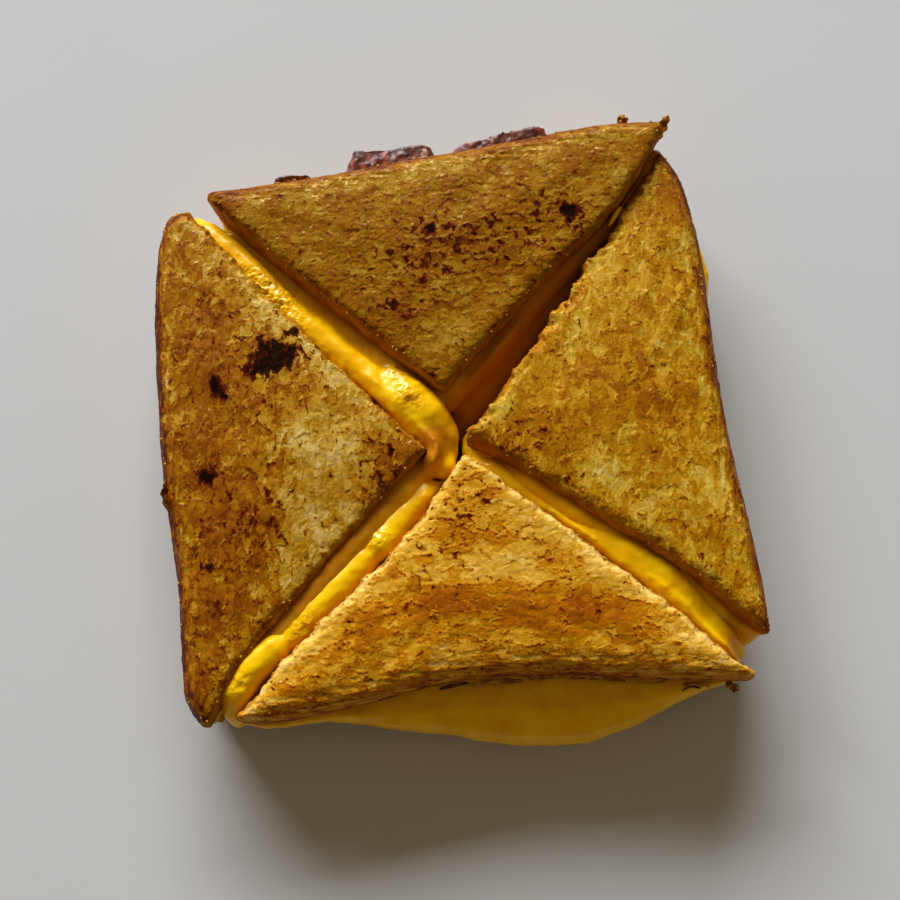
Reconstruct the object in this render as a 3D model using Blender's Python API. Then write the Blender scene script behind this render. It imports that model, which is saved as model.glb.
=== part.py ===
"""A toasted cheese and bacon sandwich, cut corner to corner in an X and left lying as four quarters.

Units are metres and +Z is up. The plan sizes below are millimetres from the point where the two
knife cuts cross, with the rounded top of the loaf slice towards +Y. Each quarter is a sandwich of
its own: a bottom slice, a layer of melted cheese, a top slice and, in the north one, three rashers.
"""

import math

import bmesh
import bpy
from mathutils import Matrix, Vector
from mathutils.geometry import barycentric_transform

MM = 0.001
GAP = 0.3  # air left between solids that touch
SHARP_ANGLE = 50.0  # a fold between faces steeper than this stays crisp

# Bread
SLICE_THICK = 11.0
CRUST_BULGE = 0.6
LOWER_SLICE_INSET = 0.8
CUT_FADE = 22.0  # the lean of a cut face dies out over this length towards a corner
TOP_CRUST = (5.0, 4.4)  # width and depth of a rounded edge
LOWER_CRUST = (3.0, 2.4)
TOP_CUT = (2.6, 1.5)
CUT_BREAK = 0.3  # the small break of a bottom slice's cut edges
RIM_INSETS = (0.5, 1.4, 3.0, 7.5)
DOME = 1.6
WAVE = 0.35
WAVE_LENGTH = 21.0
WAVE_START = 1.0
MIDDLE_LEAN = 0.7  # share of a cut face's lean that is left half way up it

# Outline points along each side of a quarter
CUT_STEPS = 9
CRUST_STEPS = 15
CHEESE_CUT_STEPS = 13
CHEESE_CRUST_STEPS = 15
CORNER_STEPS = 3
CORNER_RADIUS = 0.7

# Cheese
UNDER_BREAD = -2.5
TIP_RECESS = -1.6  # the cheese stays this far inside the bread at a quarter's two sharp tips
TIP_LENGTH = 9.0
SEAM_CLEARANCE = 0.6  # from the widest part of the bread's face to the cheese outside it
LIP = 0.1  # how far the cheese stands out of its seam where it doesn't swell at all
LIP_SAG = 0.9  # shares of the sag and the rise that the lips at the two seams have
LIP_RISE = 0.8
CHEESE_SECTION = (  # share of the swell and share of the height, from the lip to the crest
    (0.45, 0.00),
    (0.86, 0.20),
    (1.00, 0.50),
    (0.84, 0.80),
    (0.42, 1.00),
)

# Bacon
RASHER_THICK = 2.6
RASHER_LEVEL = 15.2
RASHER_STEPS = 9
RASHER_WAVE = 0.6
RASHER_WAVE_LENGTHS = (17.5, 20.0)  # across the rasher and along it
RASHER_CURL = 2.0
RASHER_CURL_POWER = 4  # the higher, the later the curl begins
RASHER_PINCH = 0.12  # share of its width that a rasher's outer end draws in on each side
RASHER_PINCH_POWER = 6
RASHER_SECTION = (  # share of the width and of the half thickness, round the strip
    (0.0, 0.0),
    (0.1, 1.0),
    (0.5, 0.8),
    (0.9, 1.0),
    (1.0, 0.0),
    (0.9, -1.0),
    (0.5, -1.0),
    (0.1, -1.0),
)

# Colour, roughness and metallic value of each food
CRUMB_TOP = ((0.42, 0.19, 0.035), 0.72, 0.0)
CRUMB_BOTTOM = ((0.38, 0.17, 0.035), 0.75, 0.0)
MELTED_CHEESE = ((0.83, 0.43, 0.015), 0.32, 0.0)
COOKED_BACON = ((0.26, 0.06, 0.035), 0.40, 0.0)

# Each quarter runs counter-clockwise: its point, first cut, crust, second cut.
# "tops" are the heights of the toasted face at the crust's start, at its end and at the point.
# "lean" is how far the knife dragged the top edge in from the foot of the first and second cut.
# "swell" is how far the cheese stands out of the first cut, the crust and the second cut, and
# "rise" how far it climbs above the underside of the top slice there.
# A lump is (x, y, radius, swell, rise, sag), and its sag hangs over the slice below.
QUARTERS = {
    "north": {
        "point": (-2.0, 11.0),
        "first_cut": [(20.0, 36.0), (41.0, 58.0)],
        "crust": [(52.6, 78.4), (36.0, 77.8), (12.0, 73.2), (-12.5, 69.0), (-37.0, 64.6), (-61.0, 61.3)],
        "second_cut": [(-51.5, 51.5)],
        "tops": (34.5, 30.5, 29.5),
        "lean": (0.2, 1.2),
        "swell": (0.2, 0.3, 0.1),
        "rise": (1.0, 0.2, 0.5),
        "lumps": [
            (-52.0, 52.0, 7.0, 0.8, 2.0, 0.0),
            (10.0, 24.0, 22.0, 5.0, 7.0, 8.0),
            (3.0, 15.0, 8.0, 1.4, 2.0, 4.0),
            (46.0, 63.0, 20.0, -2.6, 0.0, 0.0),
        ],
    },
    "west": {
        "point": (-6.3, -3.4),
        "first_cut": [(-36.0, 25.5)],
        "crust": [
            (-65.4, 57.2), (-70.0, 54.6), (-72.1, 42.0), (-71.2, 20.5), (-68.4, -8.0),
            (-63.6, -34.0), (-62.2, -48.0), (-60.8, -61.0), (-55.8, -67.4),
        ],
        "second_cut": [(-52.6, -61.0), (-46.9, -51.4), (-29.0, -29.6)],
        "tops": (30.0, 28.0, 31.0),
        "lean": (0.2, 0.9),
        "swell": (3.6, 0.3, 0.0),
        "rise": (6.8, 0.2, 0.2),
        "lumps": [
            (-32.0, 21.0, 28.0, 3.6, 0.8, 0.0),
            (-16.5, 7.0, 9.0, 4.4, 2.2, 5.0),
            (-9.0, -0.5, 8.0, 2.6, 1.4, 5.0),
            (-9.5, -7.0, 7.0, 2.6, 4.0, 4.0),
        ],
    },
    "south": {
        "point": (2.8, -4.6),
        "first_cut": [(-12.6, -26.0), (-31.0, -44.5)],
        "crust": [
            (-49.2, -65.2), (-41.0, -65.8), (-20.0, -61.5), (0.4, -56.3),
            (24.0, -54.5), (48.0, -55.9), (69.4, -56.2),
        ],
        "second_cut": [(43.0, -34.6)],
        "tops": (29.5, 31.0, 32.0),
        "lean": (0.2, 0.2),
        "swell": (4.2, 0.3, 2.6),
        "rise": (5.2, 0.2, 4.6),
        "lumps": [
            (1.5, -6.5, 12.0, -5.2, 0.0, 0.0),
            (-11.5, -23.0, 9.0, 1.6, 1.6, 0.0),
            (-22.0, -35.0, 8.0, 1.0, 1.6, 0.0),
            (-45.0, -60.5, 9.0, 1.6, 3.4, 0.0),
            (30.0, -24.0, 16.0, 1.0, 1.2, 0.0),
            (46.0, -37.0, 19.0, 2.2, 1.4, 0.0),
            (-14.0, -61.0, 20.0, 5.0, 0.0, 4.0),
            (12.0, -55.0, 34.0, 15.0, 0.0, 6.0),
            (38.0, -55.0, 26.0, 10.5, 0.0, 4.0),
        ],
    },
    "east": {
        "point": (4.0, 0.2),
        "first_cut": [(32.5, -17.5), (54.5, -31.5)],
        "crust": [
            (73.0, -46.8), (71.4, -32.5), (67.3, -10.5), (64.0, 10.0), (62.2, 30.0),
            (60.8, 46.0), (58.2, 59.5), (55.6, 67.5), (51.6, 72.4),
        ],
        "second_cut": [(29.2, 36.4)],
        "tops": (30.0, 29.5, 31.0),
        "lean": (1.2, 0.2),
        "swell": (0.1, 0.3, 0.2),
        "rise": (0.4, 0.2, 1.0),
        "lumps": [
            (62.0, 45.0, 12.0, 2.4, 0.0, 2.0),
            (64.0, -39.5, 13.0, 3.4, 0.5, 2.0),
            (46.0, 63.0, 18.0, -2.6, 0.0, 0.0),
        ],
    },
}

# A rasher: the left and right edges of its outer end, how far north each reaches, and its inner end.
RASHERS = {
    "bacon_west": {"left": -46.0, "right": -35.0, "reach": (68.6, 70.2), "inner": 51.0},
    "bacon_middle": {"left": -27.0, "right": -3.8, "reach": (75.6, 77.4), "inner": 41.0},
    "bacon_east": {"left": -1.8, "right": 26.0, "reach": (75.6, 81.0), "inner": 49.0},
}


def clear_scene():
    for thing in list(bpy.data.objects):
        bpy.data.objects.remove(thing, do_unlink=True)


def material(name, look):
    """A Principled material with the look's colour, roughness and metallic value."""
    colour, roughness, metallic = look
    made = bpy.data.materials.new(name)
    made.use_nodes = True
    shader = made.node_tree.nodes["Principled BSDF"]
    shader.inputs["Base Color"].default_value = (*colour, 1.0)
    shader.inputs["Roughness"].default_value = roughness
    shader.inputs["Metallic"].default_value = metallic
    return made


def smooth_line(points, steps):
    """Evenly numbered points on a Catmull-Rom curve through the points, without the last one."""
    ends = [2 * points[0] - points[1], *points, 2 * points[-1] - points[-2]]
    spans = len(points) - 1
    line = []
    for step in range(steps):
        at = step * spans / steps
        span = min(int(at), spans - 1)
        t = at - span
        a, b, c, d = ends[span : span + 4]
        line.append(
            0.5 * (2 * b + (c - a) * t + (2 * a - 5 * b + 4 * c - d) * t**2 + (3 * b - a - 3 * c + d) * t**3)
        )
    return line


def rounded_corner(before, corner, after):
    """Points along the small arc that takes the place of a sharp corner of a plan."""
    back = (before - corner).normalized()
    ahead = (after - corner).normalized()
    half_angle = back.angle(ahead) / 2
    middle = corner + (back + ahead).normalized() * CORNER_RADIUS / math.sin(half_angle)
    first = corner + back * CORNER_RADIUS / math.tan(half_angle) - middle
    turn = math.pi - 2 * half_angle
    arc = []
    for step in range(CORNER_STEPS + 1):
        angle = turn * step / CORNER_STEPS
        arc.append(middle + Matrix.Rotation(angle, 2) @ first)
    return arc


class Outline:
    """The plan of one quarter, with what is needed to step in from its sides or out from them."""

    def __init__(self, quarter, cut_steps=CUT_STEPS, crust_steps=CRUST_STEPS):
        self.point = Vector(quarter["point"])
        first = [Vector(xy) for xy in quarter["first_cut"]]
        crust = [Vector(xy) for xy in quarter["crust"]]
        second = [Vector(xy) for xy in quarter["second_cut"]]
        self.start, self.end = crust[0], crust[-1]
        self.crust = smooth_line(crust, crust_steps) + [self.end]
        first_line = smooth_line([self.point, *first, self.start], cut_steps) + [self.start]
        second_line = smooth_line([self.end, *second, self.point], cut_steps) + [self.point]
        self.cuts = (first_line, second_line)
        self.lean = dict(zip(("first", "second"), quarter["lean"]))
        self.points = []
        self.sides = []
        self.add_side("first", second_line[-2], first_line)
        self.add_side("crust", first_line[-2], self.crust)
        self.add_side("second", self.crust[-2], second_line)
        self.centre, self.inradius = self.incircle()
        self.normals = [self.normal(i) for i in range(len(self.points))]

    def add_side(self, side, before, line):
        """Adds the rounded corner that a side starts at and the points along it, but not its end."""
        corner = rounded_corner(before, line[0], line[1])
        self.points += corner + line[1:-1]
        on_crust = side if side != "second" else "crust"
        self.sides += [on_crust] * len(corner) + [side] * (len(line) - 2)

    def incircle(self):
        """The centre and radius of the circle that fits inside the triangle of the three corners."""
        a = (self.start - self.end).length
        b = (self.end - self.point).length
        c = (self.point - self.start).length
        centre = (a * self.point + b * self.start + c * self.end) / (a + b + c)
        half = (a + b + c) / 2
        return centre, math.sqrt((half - a) * (half - b) * (half - c) / half)

    def normal(self, i):
        """The outward direction at a point of the plan."""
        before = self.points[i - 1]
        after = self.points[(i + 1) % len(self.points)]
        along = (after - before).normalized()
        return Vector((along.y, -along.x))

    def ring(self, offsets):
        """The plan moved out by each point's offset, or drawn in towards the centre if it is negative."""
        moved = []
        for point, normal, offset in zip(self.points, self.normals, offsets):
            if offset < 0:
                moved.append(self.centre + (point - self.centre) * (1 + offset / self.inradius))
            else:
                moved.append(point + normal * offset)
        return moved

    def even_ring(self, offset):
        return self.ring([offset] * len(self.points))


def distance_to(line, point):
    """How far a plan point lies from a line of points."""
    nearest = math.inf
    for a, b in zip(line, line[1:]):
        run = b - a
        t = max(0.0, min(1.0, (point - a).dot(run) / run.length_squared))
        nearest = min(nearest, (a + run * t - point).length)
    return nearest


def rounding(distance, edge):
    """How far a face falls away beside an edge that is rounded over a width and to a depth."""
    width, depth = edge
    if distance >= width:
        return 0.0
    return depth * (1 - math.sqrt(1 - (1 - distance / width) ** 2))


def plane_height(outline, tops, point):
    """The height at a plan point of the flat face through the three corner heights."""
    corners = [Vector((*corner, 0.0)) for corner in (outline.start, outline.end, outline.point)]
    lifted = [Vector((*corner.xy, top)) for corner, top in zip(corners, tops)]
    return barycentric_transform(Vector((*point, 0.0)), *corners, *lifted).z


def underside(outline, tops, point):
    """The height of the underside of the top slice."""
    return plane_height(outline, tops, point) - SLICE_THICK


def toasted_face(outline, tops, point):
    """The height of the toasted top face: flat, slightly domed and uneven, rounded at its edges."""
    crust = distance_to(outline.crust, point)
    cut = min(distance_to(line, point) for line in outline.cuts)
    inner = min(crust, cut) / outline.inradius
    turn = math.tau / WAVE_LENGTH
    wave = math.sin(point.x * turn + WAVE_START) * math.cos(point.y * turn)
    height = plane_height(outline, tops, point) + DOME * (inner - 0.5) + WAVE * wave
    return height - rounding(crust, TOP_CRUST) - rounding(cut, TOP_CUT)


def lofted(name, rings, foot, top, look):
    """A closed solid from rings of points that run bottom to top, closed by a fan at each end."""
    mesh = bmesh.new()
    loops = [[mesh.verts.new(place * MM) for place in ring] for ring in rings]
    low = mesh.verts.new(foot * MM)
    high = mesh.verts.new(top * MM)
    count = len(rings[0])
    for i in range(count):
        j = (i + 1) % count
        mesh.faces.new((low, loops[0][j], loops[0][i]))
        mesh.faces.new((high, loops[-1][i], loops[-1][j]))
        for under, over in zip(loops, loops[1:]):
            mesh.faces.new((under[i], under[j], over[j], over[i]))
    bmesh.ops.triangulate(mesh, faces=mesh.faces, quad_method="SHORT_EDGE")
    data = bpy.data.meshes.new(name)
    mesh.to_mesh(data)
    mesh.free()
    data.shade_smooth()
    data.set_sharp_from_angle(angle=math.radians(SHARP_ANGLE))
    data.materials.append(look)
    made = bpy.data.objects.new(name, data)
    bpy.context.scene.collection.objects.link(made)
    return made


def at_height(ring, height_of):
    return [Vector((*point, height_of(point))) for point in ring]


def face_offsets(outline, crust_offset, lean_share):
    """How far the side of the top slice stands out of the plan at each of its points."""
    offsets = []
    for point, side in zip(outline.points, outline.sides):
        if side == "crust":
            offsets.append(crust_offset)
            continue
        ends = min((point - corner).length for corner in (outline.start, outline.end))
        offsets.append(outline.lean[side] * lean_share * min(1.0, ends / CUT_FADE))
    return offsets


def crust_rounding(outline, edge):
    """How far each point of the plan is taken off a face by the rounded edge of the crust."""
    return [rounding(distance_to(outline.crust, point), edge) for point in outline.points]


def raised(plan, heights):
    return [Vector((*point, height)) for point, height in zip(plan, heights)]


def top_slice(name, quarter, look):
    """The slice with the toasted face up, its cut faces leaning in to their top edges."""
    outline = Outline(quarter)
    tops = quarter["tops"]
    feet = [
        underside(outline, tops, point) + off
        for point, off in zip(outline.points, crust_rounding(outline, LOWER_CRUST))
    ]
    rim = [toasted_face(outline, tops, point) for point in outline.points]
    middles = [(foot + edge) / 2 for foot, edge in zip(feet, rim)]
    rings = [
        at_height(outline.even_ring(-LOWER_CRUST[0]), lambda p: underside(outline, tops, p)),
        raised(outline.ring(face_offsets(outline, 0.0, 1.0)), feet),
        raised(outline.ring(face_offsets(outline, CRUST_BULGE, MIDDLE_LEAN)), middles),
        raised(outline.points, rim),
    ]
    for inset in RIM_INSETS:
        rings.append(at_height(outline.even_ring(-inset), lambda p: toasted_face(outline, tops, p)))
    low = Vector((*outline.centre, underside(outline, tops, outline.centre)))
    high = Vector((*outline.centre, toasted_face(outline, tops, outline.centre)))
    return lofted(name, rings, low, high, look)


def bottom_slice(name, quarter, look):
    """The slice that the quarter stands on, flat below and rounded along its crust."""
    outline = Outline(quarter)
    off = [max(depth, CUT_BREAK) for depth in crust_rounding(outline, LOWER_CRUST)]
    side = outline.even_ring(-LOWER_SLICE_INSET)
    belly = outline.ring([
        offset - LOWER_SLICE_INSET for offset in face_offsets(outline, CRUST_BULGE, 0.0)
    ])
    faces = [outline.even_ring(-inset - LOWER_SLICE_INSET) for inset in (LOWER_CRUST[0], CUT_BREAK)]
    flat = [face if depth > CUT_BREAK else edge for face, edge, depth in zip(*faces, off)]
    rings = [
        raised(flat, [0.0] * len(flat)),
        raised(side, off),
        raised(belly, [SLICE_THICK / 2] * len(flat)),
        raised(side, [SLICE_THICK - depth for depth in off]),
        raised(flat, [SLICE_THICK] * len(flat)),
    ]
    low = Vector((*outline.centre, 0.0))
    high = Vector((*outline.centre, SLICE_THICK))
    return lofted(name, rings, low, high, look)


def bump(distance, radius):
    """A smooth hill that is 1 at its middle and 0 from its radius outwards."""
    if distance >= radius:
        return 0.0
    return math.cos(distance / radius * math.pi / 2) ** 2


def cheese_flow(quarter, outline):
    """The swell, rise and sag of the cheese at each point of the plan."""
    order = {"first": 0, "crust": 1, "second": 2}
    flows = []
    for point, side in zip(outline.points, outline.sides):
        tip = min((point - corner).length for corner in (outline.start, outline.end))
        along = min(1.0, tip / TIP_LENGTH)
        swell = TIP_RECESS + (quarter["swell"][order[side]] - TIP_RECESS) * along
        rise = quarter["rise"][order[side]] * along
        sag = 0.0
        for x, y, radius, more_swell, more_rise, more_sag in quarter["lumps"]:
            share = bump((point - Vector((x, y))).length, radius)
            swell += more_swell * share
            rise += more_rise * share
            sag += more_sag * share
        open_air = min(1.0, max(0.0, swell))
        flows.append((swell, rise * open_air, sag * open_air))
    return flows


def cheese_layer(name, quarter, look):
    """Cheese between the slices that swells out of the cuts, climbs the top slice and hangs down."""
    outline = Outline(quarter, CHEESE_CUT_STEPS, CHEESE_CRUST_STEPS)
    tops = quarter["tops"]
    flows = cheese_flow(quarter, outline)
    bed = SLICE_THICK + GAP
    faces = face_offsets(outline, CRUST_BULGE, 1.0)
    edge = [face + SEAM_CLEARANCE + min(0.0, swell) for face, (swell, _, _) in zip(faces, flows)]

    def seam(point):
        return underside(outline, tops, point) - GAP

    under = outline.even_ring(UNDER_BREAD)
    shelf = outline.ring([offset - GAP for offset in edge])
    lip = outline.ring(edge)
    rings = [at_height(plan, lambda p: bed) for plan in (under, shelf)]
    rings.append(raised(lip, [bed - LIP_SAG * sag for _, _, sag in flows]))
    for out_share, up_share in CHEESE_SECTION:
        out = [at + LIP + max(0.0, swell) * out_share for at, (swell, _, _) in zip(edge, flows)]
        plan = outline.ring(out)
        ring = []
        for at, point, (_, rise, sag) in zip(plan, outline.points, flows):
            bottom = bed - sag
            ring.append(Vector((*at, bottom + (seam(point) + rise - bottom) * up_share)))
        rings.append(ring)
    brim = [seam(point) + LIP_RISE * rise for point, (_, rise, _) in zip(outline.points, flows)]
    rings.append(raised(lip, brim))
    rings += [at_height(plan, seam) for plan in (shelf, under)]
    low = Vector((*outline.centre, bed))
    high = Vector((*outline.centre, seam(outline.centre)))
    return lofted(name, rings, low, high, look)


def rasher_height(shape, x, y):
    """The height of a rasher's middle: it ripples across and along, and its outer end curls up."""
    across, along = RASHER_WAVE_LENGTHS
    ripple = math.sin(x * math.tau / across + shape["left"]) + math.sin(y * math.tau / along + shape["left"])
    length = shape["reach"][0] - shape["inner"]
    outward = max(0.0, (y - shape["inner"]) / length)
    return RASHER_LEVEL + RASHER_WAVE * ripple + RASHER_CURL * outward**RASHER_CURL_POWER


def rasher(name, shape, grow, look):
    """A wavy strip of bacon that runs in from the crust, grown all round to cut its own bed."""
    left, right = shape["left"] - grow, shape["right"] + grow
    inner = shape["inner"] - grow
    half = RASHER_THICK / 2 + grow
    near, far = shape["reach"]
    rings = []
    for step in range(RASHER_STEPS):
        t = step / (RASHER_STEPS - 1)
        pinch = RASHER_PINCH * t**RASHER_PINCH_POWER
        ring = []
        for across, lift in RASHER_SECTION:
            reach = near + (far - near) * math.sin(across * math.pi / 2) + grow
            x = left + (right - left) * (pinch + (1 - 2 * pinch) * across)
            y = inner + (reach - inner) * t
            ring.append(Vector((x, y, rasher_height(shape, x, y) + half * lift)))
        rings.append(ring)
    low, high = (sum(ring, Vector((0, 0, 0))) / len(ring) for ring in (rings[0], rings[-1]))
    return lofted(name, rings, low, high, look)


def bed_rasher(cheese, name, shape, look):
    """Cuts the rasher's bed, a gap wider than the rasher, out of the cheese."""
    cutter = rasher(name + "_bed", shape, GAP, look)
    cutter.hide_render = True
    cutter.display_type = "WIRE"
    cut = cheese.modifiers.new(name, "BOOLEAN")
    cut.operation = "DIFFERENCE"
    cut.solver = "EXACT"
    cut.object = cutter


def centre_on_base():
    """Moves everything so that the middle of the sandwich's base is the origin."""
    bpy.context.view_layer.update()
    shown = [thing for thing in bpy.data.objects if not thing.hide_render]
    corners = [thing.matrix_world @ Vector(corner) for thing in shown for corner in thing.bound_box]
    middle = [(max(c[axis] for c in corners) + min(c[axis] for c in corners)) / 2 for axis in (0, 1)]
    for thing in bpy.data.objects:
        thing.location -= Vector((*middle, 0.0))


def build():
    clear_scene()
    crumb_top = material("toasted_bread", CRUMB_TOP)
    crumb_bottom = material("toasted_bread_below", CRUMB_BOTTOM)
    cheese_look = material("melted_cheese", MELTED_CHEESE)
    bacon_look = material("cooked_bacon", COOKED_BACON)
    for side, quarter in QUARTERS.items():
        bottom_slice(f"bottom_bread_{side}", quarter, crumb_bottom)
        layer = cheese_layer(f"cheese_{side}", quarter, cheese_look)
        top_slice(f"top_bread_{side}", quarter, crumb_top)
        if side == "north":
            for name, shape in RASHERS.items():
                bed_rasher(layer, name, shape, bacon_look)
                rasher(name, shape, 0.0, bacon_look)
    centre_on_base()


build()
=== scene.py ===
import math

import bmesh
import bpy
import numpy as np
from mathutils import Matrix, Vector, noise


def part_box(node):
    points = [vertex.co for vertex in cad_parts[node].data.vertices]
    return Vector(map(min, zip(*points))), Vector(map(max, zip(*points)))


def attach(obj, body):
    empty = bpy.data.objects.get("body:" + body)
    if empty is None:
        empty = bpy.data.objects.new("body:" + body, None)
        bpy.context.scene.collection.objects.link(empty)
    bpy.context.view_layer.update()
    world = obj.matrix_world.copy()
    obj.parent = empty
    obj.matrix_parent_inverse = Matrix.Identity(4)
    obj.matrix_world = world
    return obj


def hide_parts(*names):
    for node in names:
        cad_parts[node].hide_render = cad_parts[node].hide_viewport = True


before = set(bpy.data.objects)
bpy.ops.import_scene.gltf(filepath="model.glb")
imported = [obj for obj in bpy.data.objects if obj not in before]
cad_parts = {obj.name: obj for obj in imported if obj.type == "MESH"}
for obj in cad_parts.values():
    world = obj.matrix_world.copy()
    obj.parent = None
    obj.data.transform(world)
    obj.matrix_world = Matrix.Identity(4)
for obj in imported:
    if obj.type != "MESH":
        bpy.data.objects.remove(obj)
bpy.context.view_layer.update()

# ------------------------------------------------------------
# Table top, daylight and camera.
# The sandwich lies on a plain pale matt surface. Soft daylight comes from a window beyond its north
# side, a little to the west, and a dim warm room fills the shade. The camera looks down on it.
# ------------------------------------------------------------
MM = 0.001

TABLE_SIDE = 4.0
TABLE_GREY = (0.556, 0.549, 0.532)

table_mesh = bpy.data.meshes.new("table_top")
half = TABLE_SIDE / 2
table_mesh.from_pydata(
    [(-half, -half, 0.0), (half, -half, 0.0), (half, half, 0.0), (-half, half, 0.0)], [], [(0, 1, 2, 3)]
)
table = bpy.data.objects.new("table_top", table_mesh)
bpy.context.scene.collection.objects.link(table)


class Wiring:
    """Adds nodes to a tree. An input may be a plain value or another node's output."""

    def __init__(self, tree):
        self.tree = tree

    def node(self, kind, settings=(), **inputs):
        made = self.tree.nodes.new(kind)
        for name, value in dict(settings).items():
            setattr(made, name, value)
        for name, value in inputs.items():
            self.feed(made.inputs[name.replace("_", " ")], value)
        return made

    def feed(self, socket, value):
        if isinstance(value, bpy.types.NodeSocket):
            self.tree.links.new(value, socket)
        else:
            socket.default_value = value

    def math(self, operation, *values, clamp=False):
        made = self.tree.nodes.new("ShaderNodeMath")
        made.operation = operation
        made.use_clamp = clamp
        for socket, value in zip(made.inputs, values):
            self.feed(socket, value)
        return made.outputs[0]

    def vector(self, operation, *values):
        made = self.tree.nodes.new("ShaderNodeVectorMath")
        made.operation = operation
        for socket, value in zip(made.inputs, values):
            self.feed(socket, value)
        return made.outputs["Value" if operation in ("DISTANCE", "LENGTH", "DOT_PRODUCT") else "Vector"]

    def scaled(self, vector, scale):
        made = self.node("ShaderNodeVectorMath", {"operation": "SCALE"}, Scale=scale)
        self.feed(made.inputs[0], vector)
        return made.outputs[0]

    def times(self, first, second):
        return self.math("MULTIPLY", first, second)

    def total(self, *values):
        result = values[0]
        for value in values[1:]:
            result = self.math("ADD", result, value)
        return result

    def step(self, value, low, high, to_low=0.0, to_high=1.0):
        """A smooth step from to_low, where the value is low, to to_high, where it is high."""
        made = self.node(
            "ShaderNodeMapRange", {"interpolation_type": "SMOOTHSTEP"},
            Value=value, From_Min=low, From_Max=high, To_Min=to_low, To_Max=to_high,
        )
        return made.outputs["Result"]

    def noise(self, place, scale, detail=2.0, roughness=0.5, distortion=0.0):
        """Noise about zero, from about -0.5 to 0.5."""
        made = self.node(
            "ShaderNodeTexNoise", Vector=place, Scale=scale, Detail=detail, Roughness=roughness,
            Distortion=distortion,
        )
        return self.math("SUBTRACT", made.outputs[0], 0.5)

    def ramp(self, value, stops):
        made = self.tree.nodes.new("ShaderNodeValToRGB")
        self.feed(made.inputs[0], value)
        points = made.color_ramp.elements
        while len(points) < len(stops):
            points.new(0.5)
        for point, (place, colour) in zip(points, stops):
            point.position = place
            point.color = (*colour, 1.0)
        return made.outputs["Color"]

    def mix(self, share, first, second, blend="MIX"):
        made = self.node("ShaderNodeMix", {"data_type": "RGBA", "blend_type": blend})
        self.feed(made.inputs[0], share)
        self.feed(made.inputs[6], first)
        self.feed(made.inputs[7], second)
        return made.outputs[2]


def new_material(name):
    """A material, its wiring and its Principled shader."""
    material = bpy.data.materials.new(name)
    material.use_nodes = True
    return material, Wiring(material.node_tree), material.node_tree.nodes["Principled BSDF"]


def set_constants(shader, constants):
    """Sets plain values straight on a shader's sockets."""
    for name, value in constants.items():
        shader.inputs[name].default_value = value


def roughen(wire, shader, height, strength, distance):
    """Gives a finish its finest grain, too small to model."""
    bump = wire.node("ShaderNodeBump", Height=height, Strength=strength, Distance=distance)
    wire.feed(shader.inputs["Normal"], bump.outputs["Normal"])


def linear(red, green, blue):
    """An 8-bit screen colour as the light that it stands for."""
    shares = (red / 255, green / 255, blue / 255)
    return tuple(c / 12.92 if c <= 0.04045 else ((c + 0.055) / 1.055) ** 2.4 for c in shares)


def painted_table():
    material, wire, shader = new_material("matt_pale_table")
    place = wire.node("ShaderNodeTexCoord").outputs["Object"]
    cloud = wire.noise(place, 9.0, 3.0)
    stops = [(at, tuple(shade * c for c in TABLE_GREY)) for at, shade in ((0.3, 0.985), (0.7, 1.015))]
    wire.feed(shader.inputs["Base Color"], wire.ramp(wire.total(cloud, 0.5), stops))
    set_constants(shader, {"Roughness": 0.75, "Specular IOR Level": 0.3})
    roughen(wire, shader, wire.noise(place, 900.0, 2.0), 0.05, 0.2 * MM)
    return material


table.data.materials.append(painted_table())

WINDOW_SIZE = (3.6, 1.36)
WINDOW_DISTANCE = 4.0
WINDOW_ELEVATION = math.radians(28)
WINDOW_AZIMUTH = math.radians(106)  # from +X, so a little to the west of north
WINDOW_POWER = 308.0
WINDOW_COLOUR = (0.93, 0.975, 1.055)
ROOM_LIGHT = (0.190, 0.152, 0.098)

window = bpy.data.lights.new("window", "AREA")
window.shape = "RECTANGLE"
window.size, window.size_y = WINDOW_SIZE
window.energy = WINDOW_POWER
window.color = WINDOW_COLOUR
window_lamp = bpy.data.objects.new("window", window)
window_way = Vector((
    math.cos(WINDOW_AZIMUTH) * math.cos(WINDOW_ELEVATION),
    math.sin(WINDOW_AZIMUTH) * math.cos(WINDOW_ELEVATION),
    math.sin(WINDOW_ELEVATION),
))
window_lamp.location = window_way * WINDOW_DISTANCE
window_lamp.rotation_euler = window_way.to_track_quat("Z", "Y").to_euler()
bpy.context.scene.collection.objects.link(window_lamp)

room = bpy.data.worlds.new("room")
room.use_nodes = True
room.node_tree.nodes["Background"].inputs["Color"].default_value = (*ROOM_LIGHT, 1.0)
bpy.context.scene.world = room
bpy.context.scene.view_settings.view_transform = "Standard"

CAMERA_TILT = math.radians(12)
CAMERA_DISTANCE = 288 * MM
AIM = Vector((-0.9, -9.2, 32.0)) * MM  # the middle of the view, just over the crossing of the cuts

lens = bpy.data.cameras.new("camera")
lens.lens = 50
camera = bpy.data.objects.new("camera", lens)
camera.rotation_euler = (CAMERA_TILT, 0.0, 0.0)
camera.location = AIM + Vector((0.0, -math.sin(CAMERA_TILT), math.cos(CAMERA_TILT))) * CAMERA_DISTANCE
bpy.context.scene.collection.objects.link(camera)
bpy.context.scene.camera = camera

# ------------------------------------------------------------
# Top bread.
# A slice of soft white sandwich loaf, fried in butter until its open crumb is golden. The walls of
# the pores brown first, in ragged specks and squiggles, and hollows stay pale. The crust is darker.
# ------------------------------------------------------------
BREAD_VOXEL = 0.54 * MM
BREAD_SMOOTHING = 3
FACE_UP = 0.35  # faces whose normal climbs more than this get split once more
FLAKE_CELLS = 0.62  # flakes of crumb in a millimetre
MERGE = 1e-6


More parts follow.
